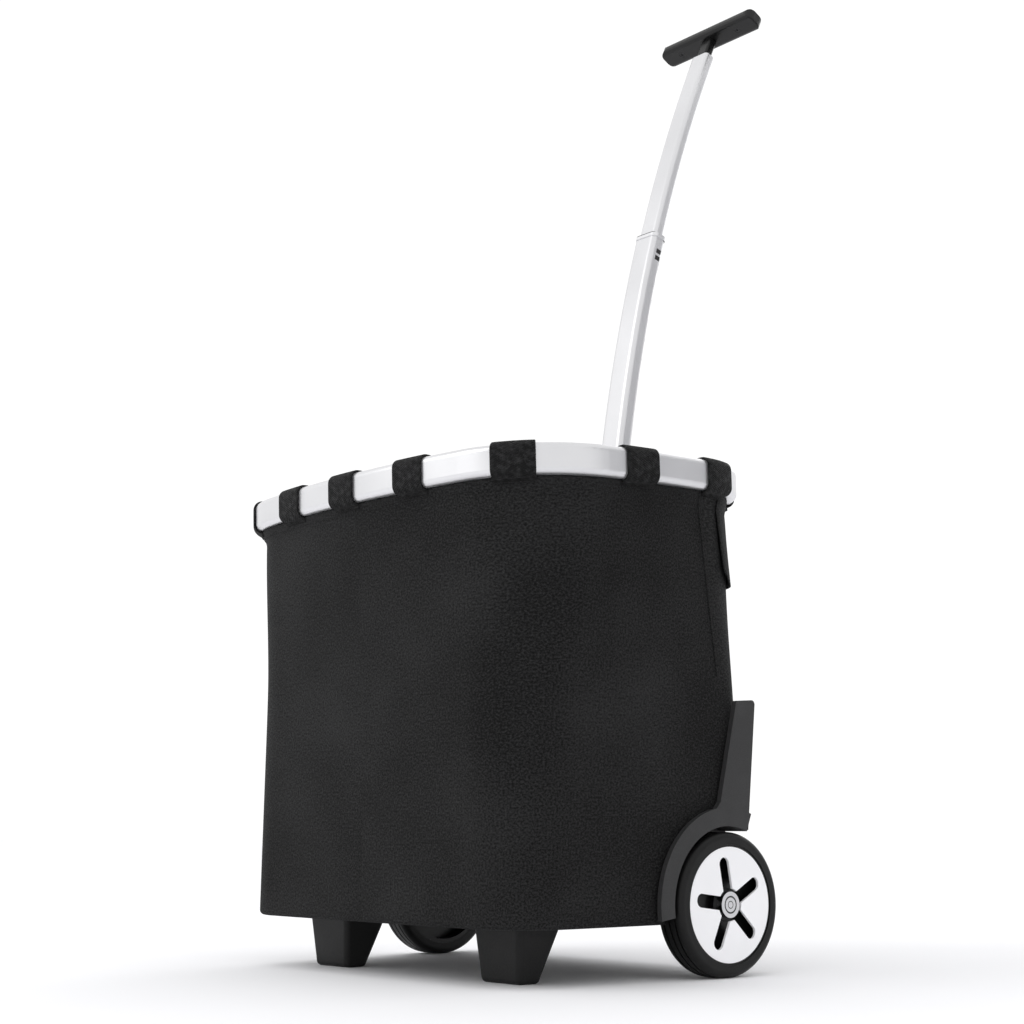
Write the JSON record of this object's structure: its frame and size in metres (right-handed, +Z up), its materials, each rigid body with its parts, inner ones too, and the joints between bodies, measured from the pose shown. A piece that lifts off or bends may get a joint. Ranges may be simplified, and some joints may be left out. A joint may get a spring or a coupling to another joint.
{
  "type": "wheeled shopping basket",
  "caption": "Wheeled shopping basket: cloth bag hung by webbing in an oval aluminium rim, two wheels, two feet and a curved telescopic pole with a T-grip.",
  "frame": {"origin": "on the floor, on the centre plane, midway between the front of the rim straps and the back of the grip", "axes": "+X to the right side seen from the front, +Y to the back where the pole stands, +Z up"},
  "size_m": [0.4242, 0.4468, 0.8971],
  "materials": {
    "anodised_aluminium": "satin anodised",
    "webbing": "woven webbing",
    "bag_cloth": "plain woven, coated",
    "housing_plastic": "fine moulded grain",
    "tyre_rubber": "rubber",
    "disc_silver": "satin silver",
    "cap_chrome": "polished",
    "foot_plastic": "moulded",
    "steel": "zinc plated",
    "black_steel": "blackened",
    "grip_plastic": "satin moulded",
    "board": "sheet",
    "black_plastic": "moulded"
  },
  "bodies": {
    "basket": {"axle_clips": "steel", "axle_left": "steel", "axle_right": "steel", "bag_back_flap": "bag_cloth", "bag_back_panel": "bag_cloth", "bag_floor_panel": "bag_cloth", "bag_front_panel": "bag_cloth", "bag_left_panel": "bag_cloth", "bag_right_panel": "bag_cloth", "base_board": "board", "beam_screws": "steel", "foot_left": "foot_plastic", "foot_right": "foot_plastic", "foot_screws": "steel", "joiner_screws": "steel", "pole_outer_collar": "black_plastic", "pole_outer_tube": "anodised_aluminium", "rear_beam": "housing_plastic", "rim_frame": "anodised_aluminium", "rim_joiner": "black_plastic", "strap_back_left": "webbing", "strap_back_right": "webbing", "strap_corner_back_left": "webbing", "strap_corner_back_right": "webbing", "strap_corner_front_left": "webbing", "strap_corner_front_right": "webbing", "strap_front_left": "webbing", "strap_front_middle": "webbing", "strap_front_right": "webbing", "strap_side_back_left": "webbing", "strap_side_back_right": "webbing", "strap_side_front_left": "webbing", "strap_side_front_right": "webbing", "wheel_housing_left": "housing_plastic", "wheel_housing_right": "housing_plastic"},
    "wheel_left": {"hub_cap_left": "cap_chrome", "tyre_left": "tyre_rubber", "wheel_body_left": "black_plastic", "wheel_bushes_left": "black_plastic", "wheel_disc_left": "disc_silver"},
    "wheel_right": {"hub_cap_right": "cap_chrome", "tyre_right": "tyre_rubber", "wheel_body_right": "black_plastic", "wheel_bushes_right": "black_plastic", "wheel_disc_right": "disc_silver"},
    "pole_middle": {"pole_middle_collar": "black_plastic", "pole_middle_latch": "steel", "pole_middle_plug": "black_plastic", "pole_middle_tube": "anodised_aluminium"},
    "pole_inner": {"grip_end_caps": "grip_plastic", "grip_lower_shell": "grip_plastic", "grip_neck": "grip_plastic", "grip_screws": "black_steel", "grip_upper_shell": "grip_plastic", "pole_inner_latch": "steel", "pole_inner_plug": "black_plastic", "pole_inner_tube": "anodised_aluminium", "release_spring": "steel"},
    "release": {"release_button": "grip_plastic", "release_rod": "steel"}
  },
  "joints": [
    {"name": "wheel_left_spin", "type": "hinge", "parent": "basket", "child": "wheel_left", "pos_m": [-0.177, 0.01199, 0.0556], "axis": [1, 0, 0], "continuous": true},
    {"name": "wheel_right_spin", "type": "hinge", "parent": "basket", "child": "wheel_right", "pos_m": [0.177, 0.01199, 0.0556], "axis": [1, 0, 0], "continuous": true},
    {"name": "pole_middle_slide", "type": "hinge", "parent": "basket", "child": "pole_middle", "pos_m": [0, 1.65649, 0.201], "axis": [-1, 0, 0], "range_deg": [-8.58, 0]},
    {"name": "pole_inner_slide", "type": "hinge", "parent": "pole_middle", "child": "pole_inner", "pos_m": [0, 1.65649, 0.201], "axis": [-1, 0, 0], "range_deg": [-7.56, 0]},
    {"name": "release_press", "type": "slide", "parent": "pole_inner", "child": "release", "axis": [0, -0.4268, -0.9043], "range_m": [0, 0.0025], "stiffness_N_per_m": 400, "springref_m": -0.003, "deforming": ["release_spring"]}
  ]
}
